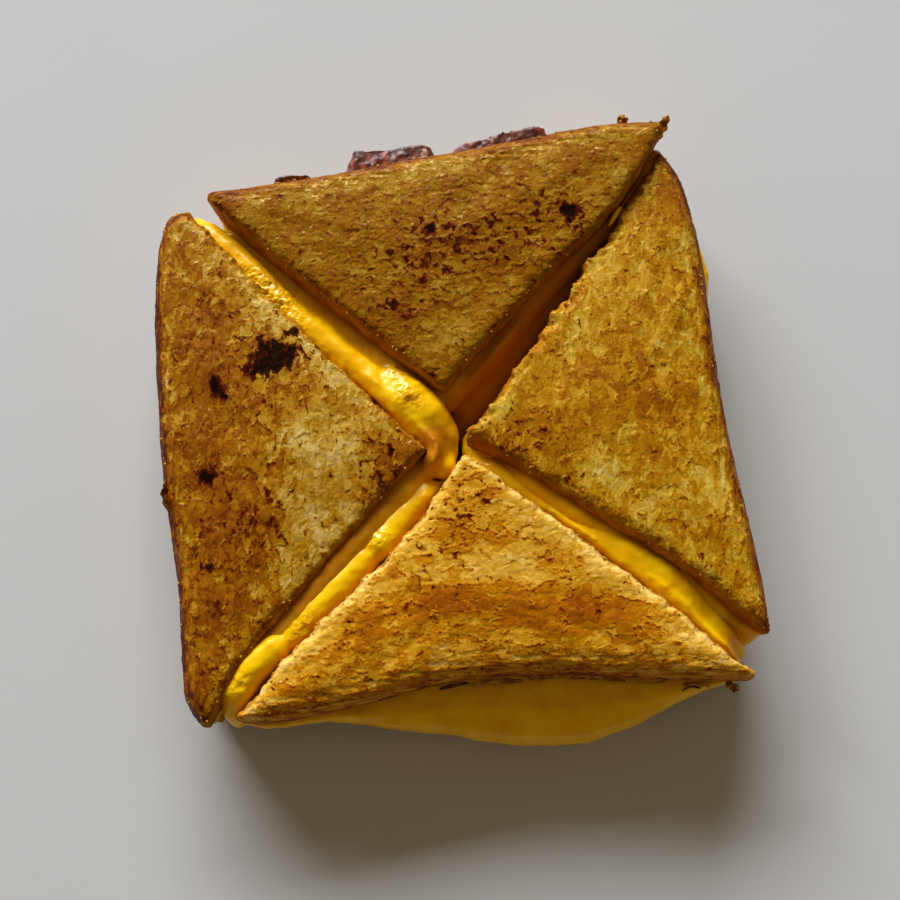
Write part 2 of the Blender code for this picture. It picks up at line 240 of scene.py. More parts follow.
def baked(piece):
    """Takes the piece's modifiers into its mesh."""
    graph = bpy.context.evaluated_depsgraph_get()
    mesh = bpy.data.meshes.new_from_object(
        piece.evaluated_get(graph), preserve_all_data_layers=True, depsgraph=graph
    )
    piece.modifiers.clear()
    piece.data = mesh
    return piece


def new_piece(name, mesh):
    piece = bpy.data.objects.new(name, mesh)
    bpy.context.scene.collection.objects.link(piece)
    return piece


def merged_copy(node, name):
    """A copy of a CAD node whose loose triangles are joined into one skin."""
    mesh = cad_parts[node].data.copy()
    mesh.materials.clear()
    skin = bmesh.new()
    skin.from_mesh(mesh)
    bmesh.ops.remove_doubles(skin, verts=skin.verts, dist=MERGE)
    skin.to_mesh(mesh)
    skin.free()
    return new_piece(name, mesh)


def evened(piece, voxel, smoothing):
    """Rebuilds a piece in small even faces and smooths away the steps between them."""
    remesh = piece.modifiers.new("even faces", "REMESH")
    remesh.mode = "VOXEL"
    remesh.voxel_size = voxel
    smooth = piece.modifiers.new("smooth", "SMOOTH")
    smooth.factor = 0.5
    smooth.iterations = smoothing
    return baked(piece)


def refine_face(piece):
    """Splits the faces on the side that shows, so that it can carry finer relief."""
    skin = bmesh.new()
    skin.from_mesh(piece.data)
    edges = {edge for face in skin.faces if face.normal.z > FACE_UP for edge in face.edges}
    bmesh.ops.subdivide_edges(skin, edges=list(edges), cuts=1, use_grid_fill=True)
    skin.to_mesh(piece.data)
    skin.free()


def store(mesh, name, values):
    layer = mesh.attributes.new(name, "FLOAT", "POINT")
    layer.data.foreach_set("value", np.asarray(values, np.float32))


def patch_map(piece, node, base, patches):
    """Browning at each point: a base level and soft oval patches, placed in shares of the slice's box."""
    low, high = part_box(node)
    places = np.empty((len(piece.data.vertices), 3), np.float32)
    piece.data.vertices.foreach_get("co", places.ravel())
    level = np.full(len(places), base, np.float32)
    for across, up, long, wide, turn, amount in patches:
        centre_x = low[0] + across * (high[0] - low[0])
        centre_y = low[1] + up * (high[1] - low[1])
        angle = math.radians(turn)
        dx, dy = places[:, 0] - centre_x, places[:, 1] - centre_y
        along = (dx * math.cos(angle) + dy * math.sin(angle)) / (long * MM)
        aside = (dy * math.cos(angle) - dx * math.sin(angle)) / (wide * MM)
        level += amount * np.exp(-(along**2 + aside**2))
    return level


def crumb_pattern(wire, place, grain, browning):
    """How firmly each point of the crumb met the pan, and the ragged grid that it follows.

    Above nought, it touched.
    """
    lengthwise = wire.vector("MULTIPLY", place, grain)
    warp = wire.node("ShaderNodeTexNoise", Vector=lengthwise, Scale=0.45, Detail=3.0).outputs["Color"]
    ragged = wire.vector("ADD", lengthwise, wire.vector("MULTIPLY", warp, (2.4, 2.4, 2.4)))
    crumb = wire.noise(ragged, 0.30, 4.0, 0.60)
    firmness = wire.times(wire.total(browning, -0.5), 0.8)
    return wire.total(crumb, firmness), ragged


def pebbled(wire, place):
    """The crumb's little rounded grains, about zero."""
    return wire.noise(place, 0.8, 4.0, 0.62)


def crumb_flakes(wire, place, scale):
    """Little flakes of crumb that lean every way: their height, how far each one turns its face south (0 to
    1), and a share drawn for each of them.
    """
    cells = wire.node("ShaderNodeTexVoronoi", Vector=place, Scale=scale, Randomness=1.0).outputs
    across = wire.vector("SUBTRACT", place, cells["Position"])
    lean = wire.vector("SUBTRACT", cells["Color"], (0.5, 0.5, 0.5))
    drawn = wire.node("ShaderNodeSeparateXYZ", Vector=cells["Color"]).outputs
    tilt = wire.times(wire.vector("DOT_PRODUCT", across, lean), 2.0 * scale)
    step = wire.times(wire.total(drawn[0], -0.5), 0.6)
    return wire.total(tilt, step), drawn[1], drawn[2]


def crust_layers(wire, place, crust_side):
    """The thin layers of crust that flake along the edge of a slice, about zero."""
    stretch = wire.vector("MULTIPLY", wire.vector("ABSOLUTE", crust_side), (0.85, 0.85, 0.0))
    stretch = wire.vector("ADD", stretch, (0.22, 0.22, 1.1))
    return wire.noise(wire.vector("MULTIPLY", place, stretch), 0.75, 4.0, 0.6)


def open_tree(name, **inputs):
    """Starts a geometry tree with the inputs named, and gives its wiring and the values handed to it."""
    tree = bpy.data.node_groups.new(name, "GeometryNodeTree")
    tree.interface.new_socket("Geometry", in_out="OUTPUT", socket_type="NodeSocketGeometry")
    for socket, kind in {"Geometry": "Geometry", **inputs, "Finish": "Material"}.items():
        tree.interface.new_socket(
            socket.replace("_", " "), in_out="INPUT", socket_type=f"NodeSocket{kind}"
        )
    return Wiring(tree), tree.nodes.new("NodeGroupInput").outputs


def surface(wire, seed):
    """The way that the surface faces, and its place in millimetres, moved on by the seed."""
    place = wire.node("GeometryNodeInputPosition").outputs["Position"]
    normal = wire.node("GeometryNodeInputNormal").outputs["Normal"]
    offset = wire.node("ShaderNodeCombineXYZ", X=seed, Y=seed).outputs[0]
    return normal, wire.vector("ADD", wire.scaled(place, 1 / MM), offset)


def stored_value(wire, name):
    return wire.node("GeometryNodeInputNamedAttribute", {"data_type": "FLOAT"}, Name=name).outputs[0]


def close_tree(wire, given, geometry, shift):
    """Ends a tree: moves the surface by the shift, makes it real and gives it its finish."""
    moved = wire.node("GeometryNodeSetPosition", Geometry=geometry, Offset=shift)
    real = wire.node("GeometryNodeRealizeInstances", Geometry=moved.outputs["Geometry"])
    finished = wire.node("GeometryNodeSetMaterial", Geometry=real.outputs["Geometry"])
    wire.feed(finished.inputs["Material"], given["Finish"])
    wire.node("NodeGroupOutput", Geometry=finished.outputs["Geometry"])
    return wire.tree


def crumb_relief():
    """The tree that gives bread its pores, ragged crumb and crust, and measures where each of them is."""
    wire, given = open_tree(
        "crumb relief", Slice="Object", Crust_Side="Vector", Grain="Vector", Relief="Float",
        Torn_Edge="Float", Seed="Float",
    )
    normal, millimetres = surface(wire, given["Seed"])

    # Walls of the plain slice, and how far each point is from its crust and from its cuts, in mm.
    slice_shape = wire.node("GeometryNodeObjectInfo", Object=given["Slice"]).outputs["Geometry"]
    upward = wire.vector("DOT_PRODUCT", normal, (0.0, 0.0, 1.0))
    climb = wire.math("ABSOLUTE", upward)
    upright = wire.math("LESS_THAN", climb, 0.6)
    outward = wire.math("GREATER_THAN", wire.vector("DOT_PRODUCT", normal, given["Crust Side"]), 0.3)
    distances = {}
    for name, wanted in (
        ("crust", wire.times(upright, outward)),
        ("cut", wire.times(upright, wire.math("SUBTRACT", 1.0, outward))),
        ("below", wire.math("GREATER_THAN", upward, 0.75)),
    ):
        chosen = wire.node("GeometryNodeSeparateGeometry", {"domain": "FACE"}, Geometry=slice_shape)
        wire.feed(chosen.inputs["Selection"], wanted)
        near = wire.node("GeometryNodeProximity", {"target_element": "FACES"})
        wire.feed(near.inputs[0], chosen.outputs["Selection"])
        distances[name] = wire.times(near.outputs["Distance"], 1 / MM)
        if name == "cut":
            facing = wire.node(
                "GeometryNodeSampleNearestSurface", {"data_type": "FLOAT_VECTOR"},
                Mesh=chosen.outputs["Selection"], Value=normal,
            ).outputs[0]

    # Crumb, in millimetres. Where it met the pan it lies level; between, it is sunk and open.
    contact, ragged = crumb_pattern(wire, millimetres, given["Grain"], stored_value(wire, "browning"))
    undulation = wire.noise(millimetres, 0.10, 2.0)
    pebbles = pebbled(wire, ragged)
    flake, _, _ = crumb_flakes(wire, ragged, FLAKE_CELLS)
    layers = crust_layers(wire, millimetres, given["Crust Side"])
    edge = wire.step(distances["crust"], 6.5, 1.5)
    hollow = wire.step(contact, 0.04, -0.12)
    cells = wire.node("ShaderNodeTexVoronoi", Vector=ragged, Scale=0.46, Randomness=1.0)
    lottery = wire.node("ShaderNodeSeparateXYZ", Vector=cells.outputs["Color"]).outputs[0]
    rim = wire.total(cells.outputs["Distance"], wire.times(pebbles, 0.4))
    pore = wire.times(wire.step(rim, 0.40, 0.14), wire.step(lottery, 0.62, 0.72))
    pit = wire.times(pore, wire.total(0.25, wire.times(hollow, 0.75)))
    height = wire.total(
        wire.times(undulation, 0.8),
        wire.times(contact, 0.10),
        wire.times(pebbles, 0.26),
        wire.times(flake, 0.17),
        wire.times(hollow, -0.08),
        wire.times(pit, -0.22),
        wire.times(edge, wire.times(layers, 1.9)),
    )
    near_cut = wire.step(distances["cut"], 1.2, 0.3)
    wall = wire.times(wire.step(climb, 0.85, 0.50), near_cut)
    baked_skin = wire.step(distances["crust"], 0.3, 4.0, 0.6, 1.0)
    kept = wire.times(baked_skin, wire.step(wall, 0.0, 1.0, 1.0, 0.6))
    height = wire.times(wire.times(height, kept), given["Relief"])
    push = wire.scaled(normal, wire.times(height, MM))

    # The knife tore the crumb along the cuts, most near the toasted face and where a cut faces north.
    upright_grain = wire.vector("MULTIPLY", millimetres, (1.0, 1.0, 0.45))
    torn = wire.total(wire.noise(upright_grain, 0.20, 4.0, 0.55), -0.02)
    torn = wire.times(torn, wire.times(given["Torn Edge"], MM))
    torn = wire.times(torn, wire.step(distances["cut"], 2.4, 0.4))
    torn = wire.times(torn, wire.step(distances["below"], 8.0, 3.0, 0.25, 1.0))
    northward = wire.vector("DOT_PRODUCT", facing, (0.0, 1.0, 0.0))
    torn = wire.times(torn, wire.step(northward, -0.3, 0.3, 0.35, 1.0))
    shift = wire.vector("ADD", push, wire.scaled(facing, torn))

    geometry = given["Geometry"]
    for name, value in {**distances, "pit": pit, "wall": wall, "crumb_place": millimetres}.items():
        kind = "FLOAT_VECTOR" if name == "crumb_place" else "FLOAT"
        geometry = wire.node(
            "GeometryNodeStoreNamedAttribute", {"data_type": kind, "domain": "POINT"},
            Geometry=geometry, Name=name, Value=value,
        ).outputs["Geometry"]
    return close_tree(wire, given, geometry, shift)


def run_tree(piece, tree, **inputs):
    """Runs a geometry tree on a piece with the inputs named, and bakes the result."""
    modifier = piece.modifiers.new(tree.name, "NODES")
    modifier.node_group = tree
    sockets = {item.name: item.identifier for item in tree.interface.items_tree if item.in_out == "INPUT"}
    for name, value in inputs.items():
        modifier[sockets[name.replace("_", " ")]] = value
    return baked(piece)


def toasted_crumb(name, look):
    """Fried crumb: little flakes from cream to gold and rust, with burnt rims and flecks."""
    material, wire, shader = new_material(name)

    def measured(name, part="Fac"):
        return wire.node("ShaderNodeAttribute", {"attribute_name": name}).outputs[part]

    place = measured("crumb_place", "Vector")
    browning, flecks, pit = measured("browning"), measured("flecks"), measured("pit")
    crust, cut, wall, below = measured("crust"), measured("cut"), measured("wall"), measured("below")
    contact, ragged = crumb_pattern(wire, place, look["grain"], browning)
    beyond, _ = crumb_pattern(wire, wire.vector("ADD", place, RIM_SHIFT), look["grain"], browning)
    flake, shade, hue = crumb_flakes(wire, ragged, FLAKE_CELLS)
    scale, painted_scale_shade, _ = crumb_flakes(wire, ragged, 1.5)
    pebbles = pebbled(wire, ragged)
    grit = wire.noise(place, 1.7, 3.0, 0.62)
    wash = wire.noise(place, 0.11, 3.0, 0.55)
    layers = crust_layers(wire, place, look["crust"])

    # Firm contact with the pan, and the dark far rims of what stood proud.
    fray = wire.total(wire.times(grit, 0.20), wire.times(flake, 0.06))
    island = wire.step(wire.total(contact, fray), -0.03, 0.03)
    outside = wire.step(wire.total(beyond, fray), 0.02, -0.01)
    patchy = wire.total(wire.noise(place, 0.35, 3.0, 0.6), wire.times(flecks, 0.5))
    rim = wire.times(wire.times(island, outside), wire.step(patchy, -0.03, 0.06))

    # Burnt flecks: ragged blots, and thin squiggles along the edges of flakes.
    often = wire.times(flecks, 0.40)
    blots = wire.noise(ragged, look["fleck_grain"], 1.5, 0.50)
    fleck = wire.total(blots, often, wire.times(grit, 0.30))
    crease = wire.math("ABSOLUTE", wire.noise(ragged, 0.70, 2.0))
    crease = wire.times(wire.step(crease, 0.024, 0.010), wire.step(fleck, 0.12, 0.20))
    edge = wire.step(crust, 6.5, 1.5)
    spared = wire.step(crust, 3.4, 0.4, 1.0, 0.2)
    burnt = wire.math("MAXIMUM", wire.step(fleck, 0.235, 0.26), wire.times(crease, 0.65))
    burnt = wire.times(burnt, spared)

    inward = wire.total(crust, wire.times(layers, 3.0))
    rind = wire.times(wire.step(inward, 3.0, 0.6), look["rind"])
    underneath = wire.times(wire.step(crust, 3.4, 0.4), wire.step(wire.total(below, layers), 2.2, 5.0))
    firm = wire.times(island, wire.total(0.10, wire.times(browning, 0.24)))
    grain = wire.total(
        wire.times(pebbles, 0.36),
        wire.times(grit, 0.20),
        wire.times(wash, 0.60),
        # Painted shade: flakes that turn their face south, away from the window, are painted darker, at
        # both sizes of flake.
        wire.times(wire.total(shade, -0.5), 0.20),
        wire.times(wire.total(painted_scale_shade, -0.5), 0.12),
        wire.times(flake, -0.05),
    )
    level = wire.total(
        look["tone"],
        wire.times(browning, 0.50),
        wire.times(firm, look["islands"]),
        wire.times(grain, look["contrast"]),
        wire.times(pit, 0.08),
        wire.times(rim, 0.34),
        wire.times(wire.step(fleck, 0.12, 0.25), 0.18),
        wire.times(edge, wire.times(layers, 1.5)),
        rind,
        wire.times(underneath, 0.30),
        wire.step(cut, 1.5, 0.2, 0.0, look["cut_tone"]),
    )
    colour = wire.ramp(wire.math("MINIMUM", level, 0.85), [
        (at, tuple(gain * c for gain, c in zip(look["gain"], linear(*tone)))) for at, tone in TOAST
    ])
    olive = wire.total(wire.noise(place, 0.20, 3.0), wire.times(hue, 0.22))
    olive = wire.step(wire.total(olive, look["olive"]), 0.0, 0.26, 0.0, 1.0)
    colour = wire.mix(olive, colour, OLIVE, "MULTIPLY")
    char = wire.ramp(fleck, [(0.26, linear(*BURNT)), (0.42, linear(*CHAR))])
    colour = wire.mix(wire.times(burnt, 0.97), colour, char)
    # The deeper part of each cut wall takes the colour of cheese and butter wiped down it; its warm orange
    # also paints the light that the cheese bounces into the shaded cuts.
    smear_and_bounce = wire.total(0.5, wire.noise(place, 0.25, 3.0))
    smear_and_bounce = wire.ramp(smear_and_bounce, [(at, linear(*tone)) for at, tone in SMEAR_AND_BOUNCE])
    reach = wire.times(wire.total(0.3, wire.noise(place, 0.22, 3.0, 0.6)), 5.0)
    depth = wire.total(below, reach, flake)
    smear_and_bounce_share = wire.times(wire.step(depth, 0.7, 2.8, 0.0, 0.9), wire.step(wall, 0.15, 0.7))
    colour = wire.mix(smear_and_bounce_share, colour, smear_and_bounce)
    wire.feed(shader.inputs["Base Color"], colour)

    # Butter sits on the crumb in small wet spots; burnt crumb and crust stay dry.
    butter = wire.total(wire.noise(place, 0.7, 3.0, 0.6), wire.times(grit, 0.5))
    moist = wire.math("SUBTRACT", spared, burnt)
    wet = wire.math("MULTIPLY", wire.step(butter, -0.04, 0.14), moist, clamp=True)
    level_top = wire.step(wall, 0.0, 0.6, 1.0, 0.1)
    wet = wire.times(wet, level_top)
    wire.feed(shader.inputs["Roughness"], wire.step(wet, 0.0, 1.0, 0.55, 0.22))
    shine = wire.times(wire.step(burnt, 0.0, 1.0, 0.10, 0.02), level_top)
    shine = wire.total(shine, wire.times(wet, 0.50))
    wire.feed(shader.inputs["Specular IOR Level"], shine)
    set_constants(shader, {
        "Specular Tint": BUTTER_TINT, "Subsurface Weight": 0.08, "Subsurface Radius": (1.0, 0.6, 0.12),
        "Subsurface Scale": 1.0 * MM,
    })
    relief = wire.total(
        grit, pebbles, wire.times(flake, 0.25), wire.times(scale, 0.30), wire.times(edge, layers)
    )
    roughen(wire, shader, relief, 0.6, look["relief"] * 0.25 * MM)
    return material


RIM_SHIFT = (0.0, 0.55, 0.0)  # mm: the risen crumb has a dark rim on its far, north side
BURNT = (88, 26, 6)
CHAR = (14, 5, 4)
SMEAR_AND_BOUNCE = ((0.35, (146, 84, 6)), (0.65, (190, 126, 24)))  # cheese and butter wiped down the cuts, warmed to paint the light that the cheese bounces into the shaded cuts
BUTTER_TINT = (1.0, 0.74, 0.24, 1.0)
OLIVE = (0.95, 1.0, 0.90, 1.0)  # what a translucent, yellower flake does to the toasted colour
TOAST = (
    (0.00, (224, 188, 94)), (0.14, (206, 158, 44)), (0.28, (190, 130, 8)), (0.42, (175, 108, 2)),
    (0.55, (156, 85, 2)), (0.68, (136, 63, 1)), (0.80, (104, 36, 2)), (0.92, (58, 16, 4)),
)

# Each slice: which way its crust faces and its grain runs, how rough and how torn it is, what its
# toasted colours are multiplied by, how much darker its rind and cut edges are, how its crumb varies,
# then its base browning and the patches that change it (share across, share up, half length and half
# width in mm, turn in degrees, change), and how flecked it is and the patches that are more so.
TOP_SLICES = {
    "north": {
        "crust": (0.0, 1.0, 0.0), "grain": (0.92, 1.0, 1.0), "relief": 0.63, "torn": 3.4, "seed": 3.0,
        "gain": (0.64, 0.56, 0.38), "tone": -0.04, "rind": 0.22, "cut_tone": 0.08, "contrast": 0.70,
        "islands": 0.6, "olive": 0.06, "fleck_grain": 0.56, "base": 0.52,
        "patches": [
            (0.53, 0.50, 26, 9, 0, 0.04), (0.43, 0.25, 7, 6, 0, 0.10), (0.06, 0.68, 5, 4, 0, 0.15),
            (0.50, 0.80, 42, 3, 12, -0.10),
            (0.11, 0.53, 7, 5, 0, -0.15), (0.54, 0.18, 8, 6, 0, -0.15), (0.85, 0.72, 8, 5, 20, -0.18),
        ],
        "flecked": 0.02, "flecks": [
            (0.56, 0.52, 24, 10, 5, 0.42), (0.77, 0.63, 7, 6, 0, 0.44), (0.43, 0.30, 9, 7, -30, 0.40),
            (0.49, 0.57, 1.6, 1.2, -30, 1.3), (0.78, 0.64, 1.7, 1.2, -20, 1.3),
        ],
    },
    "west": {
        "crust": (-1.0, 0.0, 0.0), "grain": (1.0, 0.62, 1.0), "relief": 0.74, "torn": 4.4, "seed": 41.0,
        "gain": (0.79, 0.78, 1.00), "tone": -0.04, "rind": 0.34, "cut_tone": 0.10, "contrast": 0.92,
        "islands": 1.0, "olive": -0.06, "fleck_grain": 0.70, "base": 0.54,
        "patches": [
            (0.57, 0.73, 28, 5, -43, -0.32), (0.67, 0.47, 9, 15, 0, -0.30), (0.57, 0.31, 7, 9, 0, -0.18),
            (0.24, 0.60, 5, 30, 0, 0.16), (0.27, 0.20, 7, 14, 0, 0.10),
            (0.38, 0.38, 9, 10, 0, 0.16), (0.86, 0.50, 6, 7, 0, 0.16),
        ],
        "flecked": 0.08, "flecks": [
            (0.38, 0.38, 9, 11, 0, 0.28), (0.86, 0.48, 6, 9, 0, 0.30), (0.33, 0.72, 5, 9, 0, 0.16),
            (0.475, 0.695, 5.4, 3.8, -10, 1.3), (0.43, 0.665, 4.6, 2.2, 12, 1.1),
            (0.53, 0.737, 1.3, 1.1, 0, 1.2), (0.62, 0.712, 1.0, 1.0, 0, 1.2),
            (0.26, 0.632, 1.3, 2.3, 20, 1.2), (0.24, 0.46, 2.2, 1.8, 0, 1.4),
            (0.25, 0.29, 1.7, 1.7, 0, 1.0), (0.25, 0.63, 1.1, 1.5, 0, 0.8), (0.29, 0.61, 1.0, 1.1, 0, 0.7),
        ],
    },
    "south": {
        "crust": (0.0, -1.0, 0.0), "grain": (0.72, 1.0, 1.0), "relief": 0.58, "torn": 3.4, "seed": 87.0,
        "gain": (1.10, 1.04, 1.14), "tone": -0.03, "rind": 0.08, "cut_tone": -0.12, "contrast": 0.56,
        "islands": 0.9, "olive": -0.10, "fleck_grain": 0.66, "base": 0.47,
        "patches": [
            (0.22, 0.50, 32, 4, 51, -0.24), (0.72, 0.57, 35, 4, -37, -0.24), (0.92, 0.28, 9, 6, -30, -0.12),
            (0.24, 0.36, 8, 4.5, 15, 0.20), (0.40, 0.43, 9, 4.2, 4, 0.22), (0.55, 0.40, 8, 5.0, -6, 0.22),
            (0.68, 0.43, 9, 4.4, 4, 0.22), (0.82, 0.38, 6, 3.5, -12, 0.16), (0.50, 0.56, 12, 3.5, 0, -0.20),
            (0.44, 0.74, 7, 4, 0, 0.10), (0.63, 0.60, 5, 3, -20, 0.14),
        ],
        "flecked": 0.03, "flecks": [
            (0.44, 0.76, 10, 8, 0, 0.30), (0.33, 0.45, 12, 4, 35, 0.12), (0.72, 0.44, 9, 4, 0, 0.12),
            (0.62, 0.62, 8, 4, -30, 0.14),
        ],
    },
    "east": {
        "crust": (1.0, 0.0, 0.0), "grain": (1.0, 0.62, 1.0), "relief": 0.72, "torn": 7.5, "seed": 129.0,
        "gain": (0.90, 0.93, 1.00), "tone": -0.03, "rind": 0.34, "cut_tone": 0.05, "contrast": 0.78,
        "islands": 0.8, "olive": 0.0, "fleck_grain": 0.72, "base": 0.47,
        "patches": [
            (0.60, 0.46, 9, 9, 0, 0.16), (0.37, 0.42, 7, 9, 0, 0.08), (0.21, 0.40, 5, 5, 0, 0.15),
            (0.73, 0.90, 5, 6, 0, 0.30), (0.47, 0.30, 9, 3, -40, -0.20), (0.33, 0.68, 36, 2.5, 57, -0.15),
        ],
        "flecked": 0.0, "flecks": [
            (0.21, 0.38, 7, 6, 0, 0.28), (0.30, 0.56, 3, 3, 0, 0.18), (0.76, 0.15, 1.1, 1.1, 0, 0.7),
            (0.33, 0.30, 1.1, 1.0, 0, 0.7),
        ],
    },
}

relief_tree = crumb_relief()
for side, slice_ in TOP_SLICES.items():
    node = f"top_bread_{side}"
    bread = evened(merged_copy(node, f"toasted_slice_{side}"), BREAD_VOXEL, BREAD_SMOOTHING)
    refine_face(bread)
    store(bread.data, "browning", patch_map(bread, node, slice_["base"], slice_["patches"]))
    store(bread.data, "flecks", patch_map(bread, node, slice_["flecked"], slice_["flecks"]))
    crumb = toasted_crumb(f"toasted_crumb_{side}", slice_)
    bread = run_tree(
        bread, relief_tree, Slice=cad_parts[node], Crust_Side=slice_["crust"], Grain=slice_["grain"],
        Relief=slice_["relief"], Torn_Edge=slice_["torn"], Seed=slice_["seed"], Finish=crumb,
    )
    bread.data.shade_smooth()
    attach(bread, "root")
    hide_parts(node)

# ------------------------------------------------------------
# Bottom bread.
# The slices underneath, cut with the same strokes and fried on their own side, which is the one
# that lies on the table. The quarters above hide most of them.
# ------------------------------------------------------------
LOWER_VOXEL = 0.62 * MM
LOWER_SLICES = {
    "north": (203.0, [(0.5, 0.5, 22, 12, 0, 0.16)]),
    "west": (241.0, [(0.4, 0.5, 12, 24, 0, 0.14)]),
    "south": (287.0, [(0.5, 0.4, 26, 8, 0, 0.18)]),
    "east": (329.0, [(0.6, 0.5, 10, 20, 0, 0.12)]),
}

LOWER_LOOK = {"gain": (0.85, 0.85, 0.85), "tone": -0.04, "rind": 0.24}

for side, (seed, patches) in LOWER_SLICES.items():
    node = f"bottom_bread_{side}"
    above = TOP_SLICES[side]
    bread = evened(merged_copy(node, f"toasted_slice_below_{side}"), LOWER_VOXEL, BREAD_SMOOTHING)
    store(bread.data, "browning", patch_map(bread, node, 0.50, patches))
    store(bread.data, "flecks", patch_map(bread, node, 0.06, []))
    crumb = toasted_crumb(f"toasted_crumb_below_{side}", {**above, **LOWER_LOOK})
    bread = run_tree(
        bread, relief_tree, Slice=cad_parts[node], Crust_Side=above["crust"], Grain=above["grain"],
        Relief=1.0, Torn_Edge=3.0, Seed=seed, Finish=crumb,
    )
    bread.data.shade_smooth()
    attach(bread, "root")
    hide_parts(node)

# ------------------------------------------------------------
# Melted cheese.
# A slice of processed cheese between the breads, melted until it swelled into the cuts in fat glossy
# rolls and sagged over the south side. A film of butter makes it shine, and it froths in places.
# ------------------------------------------------------------
CHEESE_VOXEL = 0.55 * MM
CHEESE_SMOOTHING = 14
BEAD_GAP = 0.4  # beads along a roll stand this share of their radius apart

# Rolls of cheese: points along each, as x, y, height of the middle, and radius, in mm.
CHEESE_ROLLS = {
    "north": [
        [(-58, 47.5, 18, 2.2), (-54, 47.5, 18.5, 3.0), (-50.5, 46, 18, 2.8)],
        [(0.8, 0.5, 10, 4.4), (3.4, 4.5, 13.5, 4.8), (7.5, 10.5, 15, 5.0), (12.5, 17, 16, 5.0),
         (18, 24, 16.5, 4.6), (25, 32.5, 17, 4.2), (33.5, 43.5, 17, 3.8), (40.5, 52, 17, 3.4),
         (48, 63, 17, 3.0)],
        [(-1.8, 6.4, 19.6, 4.0), (4.4, 13.4, 20.4, 4.2), (12, 22, 21, 4.2), (19, 30.4, 21.4, 4.0),
         (29.8, 41.8, 21.6, 3.6), (39.8, 52.4, 21.6, 3.2), (45.8, 60.6, 22, 2.8), (48.4, 64.6, 24, 2.6),
         (50.4, 67.2, 24, 2.0)],
    ],
    "west": [
        [(-64.0, 50.6, 20, 2.2), (-60.4, 47.8, 21.4, 2.8), (-54.8, 42.3, 22.5, 3.3),
         (-47, 34.5, 23.2, 3.5), (-37.5, 24.3, 23.2, 3.6), (-27.7, 16.4, 23.0, 3.6),
         (-19, 9.4, 22.6, 3.8)],
        [(-50, 43.5, 18.5, 2.8), (-44, 38.5, 18.6, 3.6), (-34.5, 30, 18.6, 4.2),
         (-24.5, 21.5, 18.8, 4.4), (-15, 13.5, 19, 4.4), (-7, 7, 18, 4.4)],
        [(-14.6, 9.0, 22.6, 4.2), (-11, 5.4, 23.4, 5.0), (-6.8, 1.2, 22.4, 5.6),
         (-4.0, -3.4, 20.2, 5.6), (-3.6, -7.0, 19.6, 4.8), (-3.2, -9.6, 20.8, 3.8),
         (-2.4, -11.4, 22.6, 3.0)],
        [(-16, 7.5, 20.5, 4.6), (-11, 1.6, 21, 5.4), (-7.8, -3.6, 20, 5.4), (-5.6, -7.6, 18.8, 4.6)],
        [(-50.8, -67.4, 17, 2.8), (-45.4, -57, 22.2, 3.5), (-28, -35.6, 23.4, 3.9),
         (-12.2, -16.8, 23.2, 3.9), (-6.2, -9.8, 20, 3.8)],
    ],
    "south": [
        [(-7, -17, 21, 3.6), (-12, -23.6, 22.3, 4.0), (-17.2, -29.8, 23, 4.2)],
        [(-21.2, -33.8, 22.8, 4.1), (-27, -40.2, 23, 4.2), (-32.2, -45.6, 22.8, 4.2),
         (-37.2, -50.4, 22.4, 3.9)],
        [(-41.2, -54.2, 24.0, 3.7), (-46.2, -58.6, 24.0, 3.8), (-49.4, -63.4, 23, 3.8),
         (-50.2, -67.5, 19.5, 3.2), (-50, -69.5, 14, 2.6)],
        [(5, -10.5, 20, 2.4), (9, -11.8, 22.2, 2.8), (15.5, -16.5, 22.2, 2.8), (22.8, -21.8, 21.2, 2.6),
         (29, -25.4, 21.6, 2.6), (34.9, -28.2, 22.8, 2.8), (42, -32.2, 23.4, 3.0),
         (49.2, -36.8, 23, 3.2), (56, -43.5, 21, 3.2), (62.5, -50.5, 19, 2.8), (66, -54.5, 16.5, 2.4)],
    ],
    "east": [
        [(4.8, -6.8, 18, 3.0), (17.8, -14.8, 22.8, 3.2), (30.8, -23.2, 22.8, 3.0),
         (52.6, -37.2, 21.4, 3.0), (62, -44.6, 19, 2.8)],
        [(60, -48, 14, 3.0), (66.5, -51.5, 14, 3.2), (70.3, -48.5, 14.5, 3.0)],
        [(37.8, 47.6, 27.5, 0.7), (39.2, 49.8, 28.2, 0.8), (40.6, 52, 28, 0.7)],
    ],
}

# Painted shade: brown patches where the bread beside the cheese shades it in the gaps, as patches like the
# bread's.
CHEESE_PAINTED_SHADE = {
    "north": [(0.78, 0.44, 46, 7, 55, 1.5), (0.27, 0.32, 36, 4, -37, 0.7)],
    "west": [
        (0.615, 0.295, 44, 4.5, 50, 0.90), (0.60, 0.79, 34, 5.0, -37, 0.7), (0.93, 0.52, 4.5, 4.5, 0, 0.9),
    ],
    "south": [],
    "east": [(0.417, 0.250, 44, 2.6, -33, 0.8)],
}

# Froth on each piece, as patches like the bread's.
CHEESE_FROTH = {
    "north": [(0.04, 0.6, 5, 3, 0, 0.4)],
    "west": [(0.40, 0.82, 9, 3.8, -42, 1.3), (0.81, 0.68, 3.5, 2.4, 0, 0.7), (0.86, 0.62, 4, 3, -40, 0.6)],
    "south": [(0.27, 0.71, 3, 2.2, 40, 0.7), (0.13, 0.40, 4, 2.5, 45, 0.6), (0.0, 0.22, 3, 3, 0, 0.5)],
    "east": [(0.5, 0.9, 3, 3, 0, 0.2)],
}


